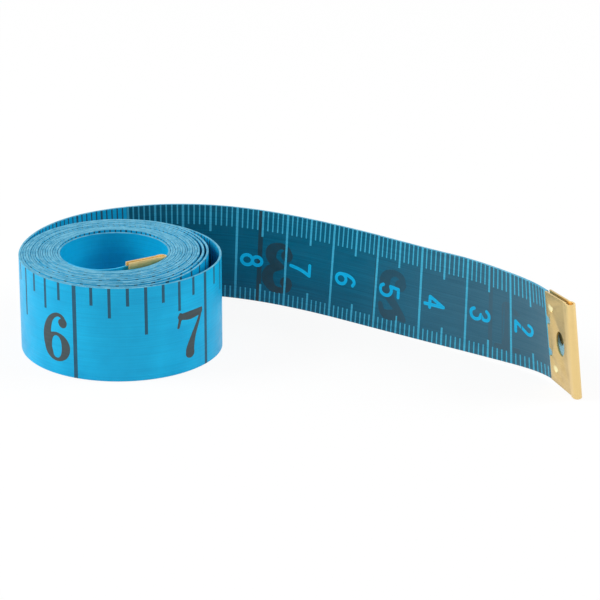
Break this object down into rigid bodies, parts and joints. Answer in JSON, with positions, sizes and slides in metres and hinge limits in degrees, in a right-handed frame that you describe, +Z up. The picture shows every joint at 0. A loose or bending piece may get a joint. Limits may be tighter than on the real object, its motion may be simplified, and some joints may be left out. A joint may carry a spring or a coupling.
{
  "type": "cloth tape measure",
  "caption": "Soft cloth tape measure standing on edge, rolled into a coil with a loose outer turn and a long free tail, its ends capped with folded brass tips.",
  "frame": {"origin": "under the middle of the whole object's box, on the surface that the tape stands on", "axes": "+X along the longest side, from the coil to the free tip; +Z up, along the tape's width"},
  "size_m": [0.0988, 0.0536, 0.0184],
  "materials": {
    "tape": "satin vinyl coating over woven glass-fibre cloth, printed scales",
    "tip": "bright rolled brass sheet, light handling wear"
  },
  "bodies": {
    "coil": {"tape_inner_turns": "tape", "tape_outer_turns": "tape", "tape_loose_turn": "tape"},
    "tail_1": {"tape_tail_1": "tape"},
    "tail_2": {"tape_tail_2": "tape"},
    "tail_3": {"tape_tail_3": "tape"},
    "tail_4": {"tape_tail_4": "tape"},
    "tail_5": {"tape_tail_5": "tape"},
    "tail_6": {"tape_tail_6": "tape", "outer_tip": "tip"},
    "inner_end": {"tape_inner_end": "tape", "inner_tip": "tip"}
  },
  "joints": [
    {"name": "tail_flex_1", "type": "hinge", "parent": "coil", "child": "tail_1", "pos_m": [-0.03955, 0.02023, 0.00875], "axis": [0, 0, 1], "range_deg": [-20, 25], "stiffness_Nm_per_rad": 0.003},
    {"name": "tail_flex_2", "type": "hinge", "parent": "tail_1", "child": "tail_2", "pos_m": [-0.02378, 0.02573, 0.00874], "axis": [0, 0, 1], "range_deg": [-20, 25], "stiffness_Nm_per_rad": 0.003},
    {"name": "tail_flex_3", "type": "hinge", "parent": "tail_2", "child": "tail_3", "pos_m": [-0.00724, 0.02258, 0.00872], "axis": [0, 0, 1], "range_deg": [-20, 25], "stiffness_Nm_per_rad": 0.003},
    {"name": "tail_flex_4", "type": "hinge", "parent": "tail_3", "child": "tail_4", "pos_m": [0.00724, 0.01408, 0.00881], "axis": [0, 0, 1], "range_deg": [-20, 25], "stiffness_Nm_per_rad": 0.003},
    {"name": "tail_flex_5", "type": "hinge", "parent": "tail_4", "child": "tail_5", "pos_m": [0.02035, 0.00387, 0.00902], "axis": [0, 0, 1], "range_deg": [-20, 25], "stiffness_Nm_per_rad": 0.003},
    {"name": "tail_flex_6", "type": "hinge", "parent": "tail_5", "child": "tail_6", "pos_m": [0.03339, -0.00641, 0.00922], "axis": [0, 0, 1], "range_deg": [-20, 25], "stiffness_Nm_per_rad": 0.003},
    {"name": "inner_end_flex", "type": "hinge", "parent": "coil", "child": "inner_end", "pos_m": [-0.03712, -0.00737, 0.00875], "axis": [0, 0, 1], "range_deg": [0, 45], "stiffness_Nm_per_rad": 0.003}
  ]
}
